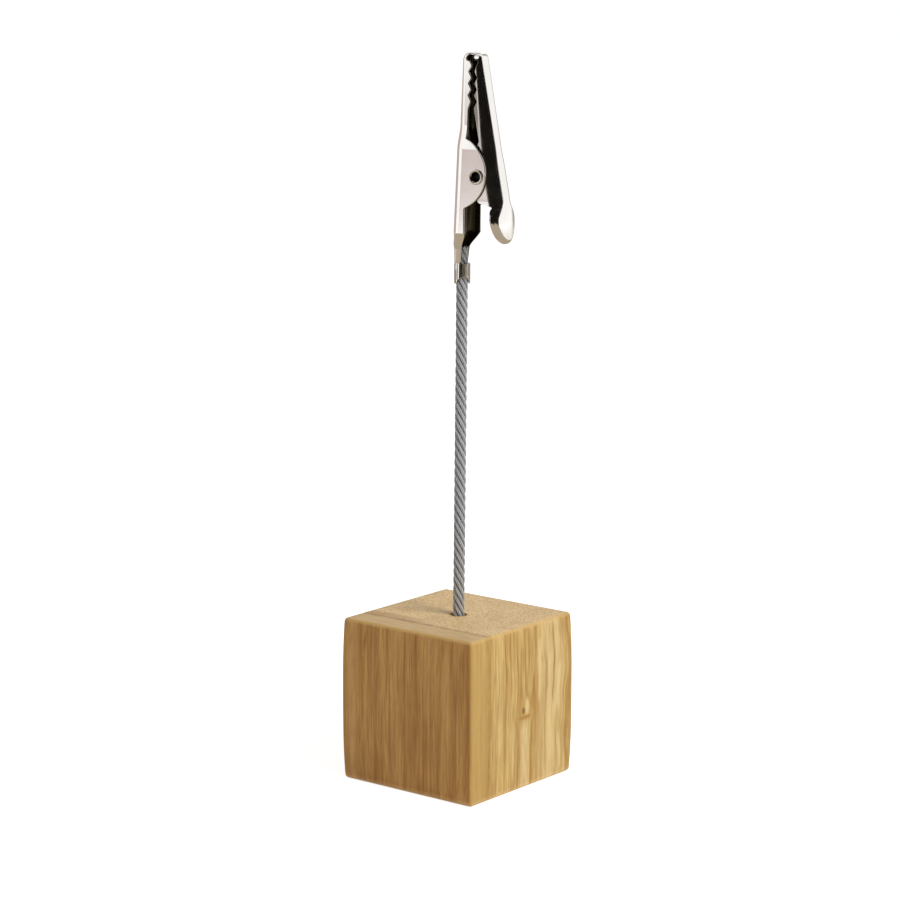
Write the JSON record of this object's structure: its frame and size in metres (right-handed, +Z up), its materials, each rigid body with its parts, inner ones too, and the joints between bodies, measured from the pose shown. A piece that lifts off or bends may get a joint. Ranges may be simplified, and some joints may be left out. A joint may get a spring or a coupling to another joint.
{
  "type": "memo clip holder",
  "caption": "Bamboo cube that stands on a desk and holds a note in a sprung alligator clip on a stiff steel cable.",
  "frame": {"origin": "middle of the bamboo cube's underside", "axes": "+Z up along the stem, X and Y square to the cube's sides; the clip's moving jaw opens towards -Y, turned about ten degrees to +X"},
  "size_m": [0.03, 0.03, 0.1312],
  "materials": {
    "bamboo": "laminated bamboo, sanded, satin",
    "glue": "set wood glue",
    "cable_steel": "galvanised wire strand",
    "nickel": "bright nickel plate on bent sheet steel",
    "rivet_nickel": "bright nickel plate",
    "spring_steel": "plain spring wire"
  },
  "bodies": {
    "stand": {"bamboo_block": "bamboo", "glue_plug": "glue", "cable_core": "cable_steel", "cable_strand_1": "cable_steel", "cable_strand_2": "cable_steel", "cable_strand_3": "cable_steel", "cable_strand_4": "cable_steel", "cable_strand_5": "cable_steel", "cable_strand_6": "cable_steel", "fixed_jaw": "nickel", "pivot_rivet": "rivet_nickel", "jaw_spring": "spring_steel"},
    "jaw": {"moving_jaw": "nickel"}
  },
  "joints": [
    {"name": "jaw_pivot", "type": "hinge", "parent": "stand", "child": "jaw", "pos_m": [0.0012, -0.00485, 0.10967], "axis": [0.986, 0.1668, -0.0038], "range_deg": [0, 24], "stiffness_Nm_per_rad": 0.12, "deforming": ["jaw_spring"]}
  ]
}
